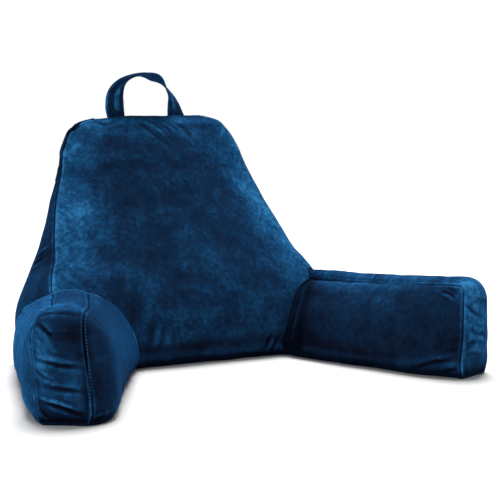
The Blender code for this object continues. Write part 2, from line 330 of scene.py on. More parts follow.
ARM_RIGHT_PAINTED_LIGHT_STROKES = (
    (24, 0.48, 468, 290, 476, 300, 483, 318),
    (18, 0.2, 470, 326, 478, 338, 486, 350),
    (24, 0.2, 320, 274, 350, 276, 372, 278),
    (20, 0.14, 384, 277, 400, 278, 430, 280),
    (18, -0.12, 376, 276, 377, 277, 378, 278),
    # painted shade in the valley at the right arm's root
    (22, -1.1, 306, 284, 299, 303, 294, 325, 290, 347),
    (60, -0.1, 310, 300, 306, 320, 302, 344),
    (30, 0.1, 340, 292, 362, 296, 384, 300),
    (26, -0.18, 300, 348, 350, 360, 400, 367, 440, 370),
)
NAP_HIDDEN = 0.3  # outside all panels
HIDDEN_LIP_HIGHLIGHT = 0.1
# painted shade along the bottom of the seam grooves: how dark, and how far it reaches
GROOVE_PAINTED_SHADE = 0.34
GROOVE_PAINTED_SHADE_REACH = 0.0010
# painted highlight along the seam lips: where it lies and how far it reaches
LIP_HIGHLIGHT_PLACE = 0.0024
LIP_HIGHLIGHT_REACH = 0.0011
PAINTED_SHADE_OPEN_SEAM = 0.004  # how far from a seam a lighter painted groove shade also keeps the painted fold shade out of its valley
FLOOR_PAINTED_SHADE = 0.40  # painted shade: how much darker it is painted near the floor, where its contact shadow falls
FLOOR_PAINTED_SHADE_REACH = 0.013
NAP_KNEE = 0.66  # brighter than this, the nap levels off towards NAP_MOST
NAP_MOST = 0.96
PAINTED_FOLD_LIGHT = 260.0  # painted light: how much brighter a fold is painted for each metre that it stands proud of its surroundings, and darker in a trough
PAINTED_FOLD_DARKEST = -0.30
PAINTED_FOLD_BRIGHTEST = 0.40
PAINTED_FOLD_ROUNDS = 14

# --- the two arms
# How each has slumped. Its inner wall's root lies back by root_low and root_high, and its
# inner seam dips on its way there. The outer corner of its front end stands ahead by skew;
# the end flares outwards as it rises, leans back in over the bend, and its inner seam is
# pulled towards the outer one. The filling has settled forwards in the inner wall (belly),
# and fills out the shoulder where the arm joins the back. The foot spreads, and the walls
# tuck in at the floor. Its groove is the painted shade in its seam grooves; where that is
# lighter than usual, the painted fold shade is also kept out of its seams. Its welt is
# painted as a highlight or as shade.
ARMS = (
    SimpleNamespace(
        name="arm_left", side=-1, length=0.450, splay=35.0, root_height=0.148,
        root_crown=0.006, root_low=(0.006, 0.010), root_high=(0.002, 0.006), dip=0.0,
        skew=0.0, flare=0.014, lean=0.0225, inner_pull=0.012, inner_bend=0.026,
        outer_bend=0.026, belly=0.036, rise=0.14, fade=1.15, shoulder=0.009,
        outer_swell=0.015, foot_swell=0.0, outer_foot=0.0045, tuck=0.010,
        seam_depth=0.0010, groove=0.10, welt_painted_light=1.15, end_thread=True,
        creases=ARM_LEFT_CREASES, gathers=ARM_LEFT_GATHERS, threads=ARM_LEFT_THREADS,
        strokes=ARM_LEFT_PAINTED_LIGHT_STROKES,
    ),
    SimpleNamespace(
        name="arm_right", side=1, length=0.404, splay=25.0, root_height=0.157,
        root_crown=0.014, root_low=(0.020, 0.024), root_high=(0.040, 0.030), dip=0.010,
        skew=0.009, flare=0.0, lean=0.004, inner_pull=0.0, inner_bend=0.014,
        outer_bend=0.034, belly=0.027, rise=0.30, fade=0.40, shoulder=0.0,
        outer_swell=0.017, foot_swell=0.008, outer_foot=0.0, tuck=0.020,
        seam_depth=0.0017, groove=0.34, welt_painted_light=0.18, end_thread=False,
        creases=ARM_RIGHT_CREASES, gathers=(), threads=ARM_RIGHT_THREADS,
        strokes=ARM_RIGHT_PAINTED_LIGHT_STROKES,
    ),
)


def pixel_ray(x, y):
    """Where the camera stands, and the direction of its ray through a pixel of the photo."""
    origin, back = camera_place()
    right = Vector((0, 0, 1)).cross(back).normalized()
    up = back.cross(right)
    scale = CAMERA_SENSOR / CAMERA_LENS / PHOTO_SIZE
    half = PHOTO_SIZE / 2
    ray = right * ((x - half) * scale) + up * ((half - y) * scale) - back
    return origin, ray.normalized()


def camera_place():
    back = Vector((
        sin(CAMERA_AZIMUTH) * cos(CAMERA_ELEVATION),
        -cos(CAMERA_AZIMUTH) * cos(CAMERA_ELEVATION),
        sin(CAMERA_ELEVATION),
    ))
    return CAMERA_TARGET + back * CAMERA_DISTANCE, back


def link(name, data):
    """A new object in the scene."""
    holder = bpy.data.objects.new(name, data)
    bpy.context.scene.collection.objects.link(holder)
    return holder


def applied_mesh(holder):
    """An object's mesh with its modifiers applied."""
    graph = bpy.context.evaluated_depsgraph_get()
    return bpy.data.meshes.new_from_object(holder.evaluated_get(graph))


def make_camera():
    camera = bpy.data.cameras.new("camera")
    camera.lens = CAMERA_LENS
    camera.sensor_width = CAMERA_SENSOR
    camera.clip_start = 0.01
    holder = link("camera", camera)
    place, back = camera_place()
    holder.location = place
    holder.rotation_euler = back.to_track_quat("Z", "Y").to_euler()
    bpy.context.scene.camera = holder


# --- shape helpers
def smooth_curve(known, values, at):
    """Values read at other places, on a smooth curve through the known ones."""
    slopes = np.gradient(values, known)
    low = np.clip(np.searchsorted(known, at, side="right") - 1, 0, len(known) - 2)
    span = known[low + 1] - known[low]
    part = (at - known[low]) / span
    keep = 1 - part
    value = values[low] * keep**2 * (1 + 2 * part) + values[low + 1] * part**2 * (1 + 2 * keep)
    return value + span * part * keep * (slopes[low] * keep - slopes[low + 1] * part)


def hump(at, middle, reach):
    """A smooth bump, 1 at its middle."""
    return np.exp(-(((at - middle) / reach) ** 2))


def crown(part, fullness=PANEL_FULLNESS):
    return 1 - np.abs(2 * part - 1) ** fullness


def graded(width, steps):
    """Shares of a panel's width, close together beside its two seams and even between."""
    near = np.array(SEAM_ROWS) / width
    middle = np.linspace(near[-1], 1 - near[-1], steps)
    return np.concatenate([near[:-1], middle, 1 - near[:-1][::-1]])


def points_of(*columns):
    return np.stack(np.broadcast_arrays(*columns), axis=-1)


def dots(rows, others):
    return np.einsum("ij,ij->i", rows, others)


def unit(rows):
    return rows / np.linalg.norm(rows, axis=-1, keepdims=True)


def lengths_along(line):
    """The length along a line at each of its points."""
    return np.concatenate([[0], np.cumsum(np.linalg.norm(np.diff(line, axis=0), axis=1))])


def smooth_line(line, rounds):
    for _ in range(rounds):
        line[1:-1] = (line[:-2] + 2 * line[1:-1] + line[2:]) / 4


def grid_quads(grid):
    quads = [grid[:-1, :-1], grid[1:, :-1], grid[1:, 1:], grid[:-1, 1:]]
    return np.stack(quads, axis=-1).reshape(-1, 4)


def patch(bottom, top, left, right, u, v):
    """A grid of points, u by v, filled in between its four edges."""
    u = u[:, None, None]
    v = v[None, :, None]
    sides = (1 - u) * left[None] + u * right[None]
    ends = (1 - v) * bottom[:, None] + v * top[:, None]
    low = (1 - u) * (1 - v) * bottom[0] + u * (1 - v) * bottom[-1]
    high = (1 - u) * v * top[0] + u * v * top[-1]
    return sides + ends - low - high


class Surface:
    """A closed skin of quads: its points, faces, seams and panels.

    A seam is a row of points. A panel is a grid of points with the shares u and v of its
    two directions.
    """

    def __init__(self):
        self.points = np.zeros((0, 3))
        self.faces = []
        self.seams = []
        self.panels = {}
        self.nap = None
        self.apart = None
        self.nearest = None

    def add(self, points):
        first = len(self.points)
        self.points = np.concatenate([self.points, points.reshape(-1, 3)])
        return np.arange(first, len(self.points)).reshape(points.shape[:-1])

    def tube(self, index):
        """Quads between closed loops, one loop for each row of the index."""
        ahead = np.roll(index, -1, axis=1)
        quads = np.stack([index[:-1], ahead[:-1], ahead[1:], index[1:]], axis=-1)
        self.faces.append(quads.reshape(-1, 4))

    def close_ends(self, index):
        """Caps a thin tube of four or six sides."""
        for row in (index[0], index[-1]):
            for start in range(0, len(row) - 2, 2):
                quad = [row[0], row[start + 1], row[start + 2], row[(start + 3) % len(row)]]
                self.faces.append(np.array([quad]))

    def cap(self, bottom, top, left, right, u, v, bow=None):
        """Closes an opening whose four edges are rows of points that are there already."""
        grid = patch(*(self.points[row] for row in (bottom, top, left, right)), u, v)
        if bow is not None:
            level = (1 - (2 * v - 1) ** 2) ** 1.5
            grid = grid + bow[None, None] * (crown(u)[:, None] * level[None])[..., None]
        index = np.zeros((len(u), len(v)), int)
        index[1:-1, 1:-1] = self.add(grid[1:-1, 1:-1])
        index[:, 0] = bottom
        index[:, -1] = top
        index[0] = left
        index[-1] = right
        self.faces.append(grid_quads(index))
        return index

    def quads(self):
        return np.concatenate(self.faces)

    def seal(self):
        """Turns every face outwards."""
        build = bmesh.new()
        corners = [build.verts.new(point) for point in self.points]
        for quad in self.quads():
            build.faces.new([corners[i] for i in quad])
        build.verts.index_update()
        bmesh.ops.recalc_face_normals(build, faces=build.faces)
        self.faces = [np.array([[v.index for v in face.verts] for face in build.faces])]
        build.free()

    def measure(self):
        """How far each point lies from its nearest seam point, and which one that is."""
        self.apart, self.nearest = distances(self.points, seam_points(self))

    def normals(self):
        quads = self.quads()
        corner = self.points[quads]
        across = np.cross(corner[:, 2] - corner[:, 0], corner[:, 3] - corner[:, 1])
        total = np.zeros_like(self.points)
        for i in range(4):
            for axis in range(3):
                total[:, axis] += np.bincount(quads[:, i], across[:, axis], len(total))
        return total / np.maximum(np.linalg.norm(total, axis=1, keepdims=True), 1e-12)

    def tree(self):
        return BVHTree.FromPolygons(self.points.tolist(), self.quads().tolist())


def neighbour_mean(surface, values):
    """The mean of each point's four neighbours."""
    quads = surface.quads()
    starts = quads.ravel()
    ends = np.roll(quads, -1, axis=1).ravel()
    count = len(surface.points)
    weight = np.bincount(starts, minlength=count) + np.bincount(ends, minlength=count)
    total = points_of(*(
        np.bincount(starts, axis[ends], count) + np.bincount(ends, axis[starts], count)
        for axis in values.T
    ))
    return total / weight[:, None]


def smoothstep(low, high, value):
    part = np.clip((value - low) / (high - low), 0, 1)
    return part * part * (3 - 2 * part)


# --- back cushion's skin
def back_surface():
    table = np.array(BACK_SLICES_MM).T / 1000
    known = table[0]
    fine = np.linspace(0, known[-1], 600)
    edge = points_of(*(np.interp(fine, known, column) for column in (table[1], table[2], known)))
    run = lengths_along(edge)
    heights = np.interp(graded(run[-1], BACK_LEVELS) * run[-1], run, fine)
    front_half, front_y, front_crown, rear_half, rear_y, rear_crown = (
        smooth_curve(known, column, heights)[:, None] for column in table[1:]
    )
    level = heights[:, None]
    across = graded(BACK_WIDTH, BACK_ACROSS)
    deep = graded(BACK_DEPTH, BACK_DEEP)
    depth = rear_y - front_y
    side_x = front_half + (rear_half - front_half) * deep + GUSSET_CROWN * depth * crown(deep)
    side_y = front_y + depth * deep
    full = crown(across)
    front = points_of(front_half * (2 * across - 1), front_y - front_crown * full, level)
    rear = points_of(rear_half * (1 - 2 * across), rear_y + rear_crown * full, level)
    right = points_of(side_x, side_y, level)
    left = points_of(-side_x, side_y, level)[:, ::-1]
    skin = Surface()
    index = skin.add(np.concatenate([s[:, :-1] for s in (front, right, rear, left)], axis=1))
    skin.tube(index)
    # the last column of the front, of the right gusset and of the rear panel
    f = len(across) - 1
    g = f + len(deep) - 1
    h = g + f
    wrapped = np.concatenate([index, index[:, :1]], axis=1)
    for row in (wrapped[0], wrapped[-1]):
        sides = row[: f + 1], row[g : h + 1][::-1], row[h:][::-1], row[f : g + 1]
        grid = skin.cap(*sides, across, deep)
    middle = grid[:, len(deep) // 2]
    skin.seams = [index[:, 0], index[:, f], index[:, g], index[:, h], wrapped[0], middle]
    share = heights / heights[-1]
    skin.panels = {
        "front": (index[:, : f + 1].T, across, share),
        "gusset_right": (index[:, f + 1 : g].T, deep[1:-1], share),
        "rear": (index[:, g : h + 1].T, across, share),
        "gusset_left": (index[:, h + 1 :].T, 1 - deep[1:-1], share),
    }
    skin.seal()
    skin.measure()
    return skin


def slump(x, z):
    """How far the top sags at its left corner, and is pushed up on the right."""
    high = smoothstep(0.40, 0.485, z)
    return high * (TOP_PUSH * smoothstep(0.02, 0.08, x) - TOP_SAG * smoothstep(0.05, 0.12, -x))


# --- arm cushions' skin
UPWARDS = np.array((0.0, 0.0, 1.0))


def plan(point, side):
    return np.array((side * point[0], point[1], 0.0))


def across_and_forward(inner, outer, side):
    """Unit directions at a cut of an arm: from inner to outer wall, and to its front end."""
    outward = unit(outer - inner)
    return outward, np.cross(outward, (0, 0, side))


def arm_front(arm):
    splay = radians(arm.splay)
    across = Vector((cos(splay), sin(splay)))
    ahead = Vector((sin(splay), -cos(splay)))
    inner = Vector(ARM_ROOT.inner_low) + arm.length * ahead
    low = inner + ARM_END_WIDTH * across + arm.skew * ahead
    high = low - arm.lean * across
    return Station(inner, inner + ARM_INNER_LEAN * across, high, low, ARM_SEAM_HEIGHT)


def arm_root(arm):
    return ARM_ROOT._replace(
        inner_low=np.add(ARM_ROOT.inner_low, arm.root_low),
        inner_high=np.add(ARM_ROOT.inner_high, arm.root_high),
        seam_height=arm.root_height,
    )


def arch(up, power):
    """How far a wall has leant over at this share of its height."""
    return 1 - np.sqrt(np.maximum(0, 1 - up**power))


def arm_cuts(arm):
    """The cuts of an arm: round its front bend, along it, and on into the back cushion."""
    front = arm_front(arm)
    root = arm_root(arm)
    first = arm.outer_bend / arm.length
    cuts = []
    for turned in pi / 2 * np.arange(ARM_BEND) / ARM_BEND:
        cuts.append((front, root, first * (1 - cos(turned)), turned, True))
    for part in np.arange(ARM_LONG) / ARM_LONG:
        cuts.append((front, root, first + (1 - first) * part, pi / 2, True))
    for part in np.linspace(0, 1, ARM_TAIL_LONG + 1):
        cuts.append((root, ARM_TAIL, part, pi / 2, False))
    return cuts


def arm_ups():
    evenly = graded(ARM_SEAM_HEIGHT, ARM_UP)
    return (1 - ARM_TOP_CROWDING) * evenly + ARM_TOP_CROWDING * np.sin(pi / 2 * evenly)


def inner_lag(arm, share):
    """How far the inner wall's cuts lie ahead of the outer ones after a tighter bend."""
    first = arm.outer_bend / arm.length
    loose = 1 - arm.inner_bend / arm.outer_bend
    return loose * min(share, first) * (1 - smoothstep(first, LAG_REACH, share))


def arm_loop(arm, cut, ups, across):
    """One cut's closed loop: up the inner wall, over the strip, down the outer wall."""
    near, far, share, turned, on_arm = cut
    inner_share = share - inner_lag(arm, share) if on_arm else share
    # how far along the arm itself, and what is left of its forms further in
    at, inner_at = (share, inner_share) if on_arm else (1.0, 1.0)
    left = 1.0 if on_arm else 1 - share

    def corner(name, reached):
        before = plan(getattr(near, name), arm.side)
        behind = plan(getattr(far, name), arm.side)
        return before + (behind - before) * reached

    fall = far.seam_height - near.seam_height
    inner_seam = near.seam_height + fall * inner_share
    outer_seam = near.seam_height + fall * share
    inner_top = inner_seam - arm.inner_bend * (1 - sin(turned))
    outer_top = outer_seam - arm.outer_bend * (1 - sin(turned))
    outer_low = corner("outer_low", share)
    outward, forward = across_and_forward(corner("inner_low", share), outer_low, arm.side)
    rise = 1 - (1 - min(inner_at / arm.rise, 1)) ** BELLY_ROUNDNESS
    inner_swell = arm.belly * rise * max(0.0, 1 - arm.fade * inner_at) * (1 - inner_at**6)
    shoulder = arm.shoulder * smoothstep(0.25, 0.85, inner_at)
    dip = arm.dip * smoothstep(0.0, 0.55, inner_at) * left
    strip_crown = ARM_STRIP_CROWN + (arm.root_crown - ARM_STRIP_CROWN) * at
    outer_swell = arm.outer_swell * (1 - (1 - min(at / OUTER_RISE, 1)) ** 3) * left
    at_end = 1 - smoothstep(0.0, END_REACH, at)
    pull = arm.inner_pull * max(0.0, 1 - inner_at / END_REACH) ** 2
    foot = arm.foot_swell * (1 - smoothstep(0.1, 0.5, at))
    outer_foot = arm.outer_foot * smoothstep(0.0, 0.06, at) * (1 - smoothstep(0.2, 0.6, at))
    deepest = ARM_END_TUCK + (arm.tuck - ARM_END_TUCK) * smoothstep(0.0, 0.15, at)
    proud = forward * cos(turned) + np.array((0, 0, sin(turned)))
    outer_arch = OUTER_ARCH + (END_ARCH - OUTER_ARCH) * at_end

    def wall(low, high, away, top, full, power, spreading, profile):
        level = top * ups
        height = np.minimum(1, level / full)
        base = low + (high - low) * arch(height, power)[:, None]
        tuck = deepest * np.maximum(0.0, 1 - level / ARM_TUCK_HEIGHT) ** 2
        spread = spreading * hump(level, FOOT_HEIGHT, FOOT_REACH)
        shift = profile(height) + spread - tuck
        return base + away * shift[:, None] + UPWARDS * level[:, None]

    def inner_profile(height):
        raised = ARM_FLOOR_SWELL + (1 - ARM_FLOOR_SWELL) * ups
        swelled = inner_swell * crown(raised, ARM_WALL_FULLNESS) + shoulder * crown(ups)
        return swelled - pull * smoothstep(0.0, 0.85, height)

    def outer_profile(height):
        raised = OUTER_FLOOR_SWELL + (1 - OUTER_FLOOR_SWELL) * ups
        return outer_swell * crown(raised, OUTER_FULLNESS) + arm.flare * at_end * height

    inner = wall(
        corner("inner_low", inner_share), corner("inner_high", inner_share), -outward,
        inner_top - dip, inner_seam - dip, INNER_ARCH, foot, inner_profile,
    )
    outer = wall(
        outer_low, corner("outer_high", share), outward,
        outer_top, outer_seam, outer_arch, foot + outer_foot, outer_profile,
    )
    part = across[1:-1, None]
    over = inner[-1] + (outer[-1] - inner[-1]) * part
    over = over + proud * (strip_crown * crown(part))
    under = outer[0] + (inner[0] - outer[0]) * part
    return np.concatenate([inner, over, outer[::-1], under])


def arm_surface(arm):
    ups = arm_ups()
    across = graded(ARM_END_WIDTH, ARM_ACROSS)
    loops = np.array([arm_loop(arm, cut, ups, across) for cut in arm_cuts(arm)])
    skin = Surface()
    index = skin.add(loops)
    skin.tube(index)
    # the last column of the inner wall, of the strip and of the outer wall
    up = len(ups) - 1
    far = up + len(across) - 1
    foot = far + up
    front = arm_front(arm)
    ends = [plan(point, arm.side) for point in (front.inner_low, front.outer_low)]
    forward = across_and_forward(*ends, arm.side)[1]
    for which, bow in ((0, forward * ARM_STRIP_CROWN), (-1, forward * 0)):
        row = np.append(index[which], index[which, 0])
        sides = row[foot:][::-1], row[up : far + 1], row[: up + 1], row[far : foot + 1][::-1]
        grid = skin.cap(*sides, across, ups, bow)
        if which == 0:
            skin.panels["end"] = (grid[1:-1, 1:-1], across[1:-1], ups[1:-1])
    along = np.linspace(0, 1, len(index))
    skin.panels["inner"] = (index[:, : up + 1], along, ups)
    skin.panels["strip"] = (index[:, up + 1 : far], along, across[1:-1])
    skin.panels["outer"] = (index[:, far : foot + 1], along, ups[::-1])
    skin.seams = [
        np.concatenate([index[0, :up], index[:, up]]),
        np.concatenate([index[0, far + 1 : foot + 1][::-1], index[:, far]]),
        np.concatenate([index[::-1, 0], index[0, foot:][::-1], index[:, foot]]),
    ]
    skin.seal()
    skin.measure()
    return skin, index[:, : foot + 1]


# --- cloth simulation
def seam_points(skin):
    return np.concatenate([skin.points[seam] for seam in skin.seams])


def distances(points, targets):
    """The distance of each point to the nearest target, and that target's number."""
    tree = KDTree(len(targets))
    for i, target in enumerate(targets):
        tree.insert(target, i)
    tree.balance()
    found = [tree.find(point)[1:] for point in points]
    return np.array([f[1] for f in found]), np.array([f[0] for f in found])


def sim_copy(node, voxel):
    """A slightly smaller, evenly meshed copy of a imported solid."""
    build = bmesh.new()
    build.from_mesh(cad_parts[node].data)
    bmesh.ops.remove_doubles(build, verts=build.verts, dist=0.00005)
    build.normal_update()
    for vertex in build.verts:
        vertex.co -= vertex.normal * SIM_INSET
    mesh = bpy.data.meshes.new(node + "_sim")
    build.to_mesh(mesh)
    build.free()
    copy = link(node + "_sim", mesh)
    remesh = copy.modifiers.new("even", "REMESH")
    remesh.mode = "VOXEL"
    remesh.voxel_size = voxel
    even = applied_mesh(copy)
    copy.modifiers.clear()
    copy.data = even
    bpy.data.meshes.remove(mesh)
    return copy


def coordinates(mesh):
    flat = np.zeros(len(mesh.vertices) * 3)
    mesh.vertices.foreach_get("co", flat)
    return flat.reshape(-1, 3)


def simulate(node, skin, voxel, held_reach):
    """How the cover of a cushion moves as its filling swells it, held at its seams."""
    copy = sim_copy(node, voxel)
    rest = coordinates(copy.data)
    seam_distance, _ = distances(rest, seam_points(skin))
    held = 1 - smoothstep(held_reach * 0.5, held_reach, seam_distance)
    held = np.maximum(held, 1 - smoothstep(*SIM_HELD_HEIGHT, rest[:, 2]))
    group = copy.vertex_groups.new(name="held")
    for i, weight in enumerate(held):
        group.add([i], float(weight), "REPLACE")
    cloth = copy.modifiers.new("cover", "CLOTH")
    for setting, value in SIM_CLOTH.items():
        setattr(cloth.settings, setting, value)
    cloth.settings.effector_weights.gravity = 0
    cloth.collision_settings.use_collision = False
    cloth.point_cache.frame_end = SIM_FRAMES
    scene = bpy.context.scene
    for step in range(1, SIM_FRAMES + 1):
        scene.frame_set(step)
    moved = applied_mesh(copy)
    after = coordinates(moved)
    moved.calc_loop_triangles()
    triangles = np.zeros(len(moved.loop_triangles) * 3, int)
    moved.loop_triangles.foreach_get("vertices", triangles)
    bpy.data.objects.remove(copy, do_unlink=True)
    scene.frame_set(1)
    return rest, after - rest, triangles.reshape(-1, 3)


def carry_over(skin, rest, shift, triangles):
    """The simulated movement, read at the points of a finer skin."""
    tree = BVHTree.FromPolygons(rest.tolist(), triangles.tolist())
    found = [tree.find_nearest(point) for point in skin.points]
    place = np.array([f[0] for f in found])
    corner = triangles[[f[2] for f in found]]
    a, b, c = (rest[corner[:, i]] for i in range(3))
    whole = np.cross(b - a, c - a)
    area = dots(whole, whole)
    share_b = dots(np.cross(place - a, c - a), whole) / area
    share_c = dots(np.cross(b - a, place - a), whole) / area
    shares = np.stack([1 - share_b - share_c, share_b, share_c], axis=1)
    moved = np.einsum("ij,ijk->ik", shares, shift[corner])
    for _ in range(3):
        moved = (moved + neighbour_mean(skin, moved)) / 2
    return moved


# --- finishing a skin
def swell(skin, node, voxel, cap, held_reach):
    """Gives a skin the simulated puckers of its cushion."""
    rest, shift, triangles = simulate(node, skin, voxel, held_reach)
    moved = carry_over(skin, rest, shift, triangles)
    normals = skin.normals()
    outward = dots(moved, normals)
    inside = smoothstep(held_reach * 0.5, held_reach * 3.5, skin.apart)
    typical = np.sum(outward * inside) / np.sum(inside)
    moved = moved - normals * (typical * inside)[:, None]
    size = np.linalg.norm(moved, axis=1, keepdims=True)
    moved = moved * np.minimum(1, cap / np.maximum(size, 1e-9))
    skin.points = skin.points + moved


def round_edges(skin):
    strength = hump(skin.apart, 0, ROUNDING_REACH)[:, None] * 0.5
    for _ in range(ROUNDING_ROUNDS):
        skin.points = skin.points + (neighbour_mean(skin, skin.points) - skin.points) * strength


def seam_run(skin):
    """The length along its seam of every seam point, each seam starting a metre on."""
    return np.concatenate([
        number + lengths_along(skin.points[seam]) for number, seam in enumerate(skin.seams)
    ])


def wander(at, step, seed):
    """Smooth random numbers, -1 to 1, that change over this step."""
    values = np.random.default_rng(seed).uniform(-1, 1, 4096)
    place = at / step
    low = np.floor(place).astype(int)
    part = place - low
    part = part * part * (3 - 2 * part)
    return values[low % 4096] * (1 - part) + values[(low + 1) % 4096] * part


def sew(skin, seed, depth=SEAM_DEPTH):
    """Presses the seams in, with the small puckers that the thread draws up beside them."""
    run = seam_run(skin)[skin.nearest]
    groove = depth * hump(skin.apart, 0, SEAM_WIDTH)
    lip = LIP_HEIGHT * hump(skin.apart, LIP_PLACE, LIP_WIDTH)
    tight = wander(run, 0.011, seed) * (0.55 + 0.45 * wander(run, 0.05, seed + 1))
    reach = 0.012 + 0.010 * (1 + wander(run, 0.021, seed + 2))
    fan = smoothstep(0.0015, 0.005, skin.apart) * hump(skin.apart, 0, reach)
    skin.points = skin.points + skin.normals() * (lip - groove + PUCKER * tight * fan)[:, None]


def lump(skin, size, height, seed):
    """Soft unevenness of the loose filling."""
    shift = Vector((seed, seed * 0.7, -seed))
    bumps = [noise.noise(Vector(point) / size + shift) for point in skin.points]
    skin.points = skin.points + skin.normals() * (height * np.array(bumps))[:, None]


def on_skin(tree, path):
    """The points of a skin that show at these pixels, a millimetre or two apart."""
    path = np.reshape(path, (-1, 2))
    steps = np.linspace(0, len(path) - 1, 12 * len(path))
    pixels = points_of(*(np.interp(steps, np.arange(len(path)), axis) for axis in path.T))
    hits = [tree.ray_cast(*pixel_ray(*pixel))[0] for pixel in pixels]
    line = np.array([hit for hit in hits if hit is not None]).reshape(-1, 3)
    smooth_line(line, 20)
    return line


def beside(points, line, reach):
    """The points near a line: their numbers, how far they lie, and where along it."""
    low, high = line.min(axis=0) - reach, line.max(axis=0) + reach
    near = np.flatnonzero(np.all((points > low) & (points < high), axis=1))
    apart = np.linalg.norm(points[near, None] - line[None], axis=2)
    return near, apart.min(axis=1), apart.argmin(axis=1) / max(1, len(line) - 1)


def press(skin, line, width, depth):
    """Presses a trough into a skin along a line, or raises a fold there."""
    near, apart, along = beside(skin.points, line, width * 3)
    taper = smoothstep(0.0, 0.35, along) * smoothstep(0.0, 0.35, 1 - along)
    taper = 0.08 + 0.92 * taper
    lips = 0.35 * hump(apart / width, 1.7, 0.6)
    shift = depth * taper * (lips - hump(apart, 0, width))
    skin.points[near] += skin.normals()[near] * shift[:, None]


def crease(skin, rows):
    tree = skin.tree()
    for width, depth, *path in rows:
        line = on_skin(tree, path)
        if len(line) >= 3:
            press(skin, line, width / 1000, depth / 1000)


def gather(skin, arm):
    """Draws an arm's boxing strip up in folds that run across it."""
    grid = skin.panels["strip"][0]
    columns = np.arange(grid.shape[1])
    for width, depth, inner, outer in arm.gathers:
        place = (inner + (outer - inner) * columns / columns[-1]) / 1000
        share = (place - arm.outer_bend) / (arm.length - arm.outer_bend)
        number = ARM_BEND + share * ARM_LONG
        low = np.floor(number).astype(int)
        part = (number - low)[:, None]
        near, far = skin.points[grid[low, columns]], skin.points[grid[low + 1, columns]]
        press(skin, near + (far - near) * part, width / 1000, depth / 1000)


def paint_nap_and_light(skin, painted_light_bands, strokes, groove=GROOVE_PAINTED_SHADE):
    """How bright the velour is coloured at each point, its nap with painted highlights and
    painted shade: by panel, band, stroke, fold, seam and floor.
    """
    nap = np.full(len(skin.points), NAP_HIDDEN)
    lip = np.full(len(skin.points), HIDDEN_LIP_HIGHLIGHT)
    for name, (index, u, v) in skin.panels.items():
        ground, lip_highlight = PANEL_NAP_AND_LIGHT[name]
        value = np.full(index.shape, ground)
        # painted highlights and painted shade in bands across the panel
        for panel, at_u, reach_u, at_v, reach_v, strength in painted_light_bands:
            if panel == name:
                near = hump(u, at_u, reach_u)[:, None] * hump(v, at_v, reach_v)
                value = value + strength * near
        nap[index] = value
        lip[index] = lip_highlight
    tree = skin.tree()
    # painted highlights and painted shade along lines
    for reach, strength, *path in strokes:
        line = on_skin(tree, path)[::3]
        if len(line):
            near, apart, _ = beside(skin.points, line, reach / 400)
            nap[near] += strength * hump(apart, 0, reach / 1000)
    # painted highlight on raised folds and painted shade in troughs, by how far each point stands
    # proud
    blurred = skin.points
    for _ in range(PAINTED_FOLD_ROUNDS):
        blurred = neighbour_mean(skin, blurred)
    proud = dots(skin.points - blurred, skin.normals())
    open_seam = (1 - groove / GROOVE_PAINTED_SHADE) * hump(skin.apart, 0, PAINTED_SHADE_OPEN_SEAM)
    nap = nap + np.clip(PAINTED_FOLD_LIGHT * proud, PAINTED_FOLD_DARKEST * (1 - open_seam), PAINTED_FOLD_BRIGHTEST)
    # painted highlight along the lips beside the seams
    nap = nap + lip * hump(skin.apart, LIP_HIGHLIGHT_PLACE, LIP_HIGHLIGHT_REACH)
    # painted shade along the bottom of each seam groove
    nap = nap - groove * hump(skin.apart, 0, GROOVE_PAINTED_SHADE_REACH)
    # painted shade low down, near the floor
    nap = nap - FLOOR_PAINTED_SHADE * hump(skin.points[:, 2], 0, FLOOR_PAINTED_SHADE_REACH)
    room = NAP_MOST - NAP_KNEE
    levelled = NAP_KNEE + room * (1 - np.exp(-np.maximum(0, nap - NAP_KNEE) / room))
    skin.nap = np.maximum(0, np.where(nap > NAP_KNEE, levelled, nap))


def depth_inside(tree, point):
    """How far a point lies within a skin, less than zero outside it, and the skin's normal."""
    place, normal, _, _ = tree.find_nearest(point)
    return (place - Vector(point)).dot(normal), np.array(normal)


def meeting_line(skin, lanes, tree):
    """Where the lanes that run along an arm first enter the back cushion."""
    line = []
    normals = []
    for lane in lanes.T:
        before = depth_inside(tree, skin.points[lane[0]])
        for near, far in zip(lane[:-1], lane[1:]):
            depth, normal = depth_inside(tree, skin.points[far])
            if depth > 0:
                part = before[0] / (before[0] - depth)
                line.append(skin.points[near] + (skin.points[far] - skin.points[near]) * part)
                normals.append(normal)
                break
            before = depth, normal
    return np.array(line), np.array(normals)


def welt(skin, lanes, tree, nap):
    """A fine ridge of folded cloth along the seam between an arm and the back cushion."""
    line, normal = meeting_line(skin, lanes, tree)
    smooth_line(line, 4)
    normal = unit(normal)
    ahead = unit(np.gradient(line, axis=0))
    side = np.cross(normal, ahead)
    turn = np.linspace(0, 2 * pi, WELT_SIDES, endpoint=False)[:, None]
    size = WELT_RADIUS * (0.8 + 0.2 * wander(np.arange(len(line)), 5, len(line)))
    ring = side[:, None] * np.cos(turn) + normal[:, None] * np.sin(turn)
    ridge = Surface()
    index = ridge.add(line[:, None] + normal[:, None] * WELT_RADIUS + ring * size[:, None, None])
    ridge.tube(index)
    ridge.close_ends(index)
    ridge.nap = np.full(len(ridge.points), nap)
    return ridge


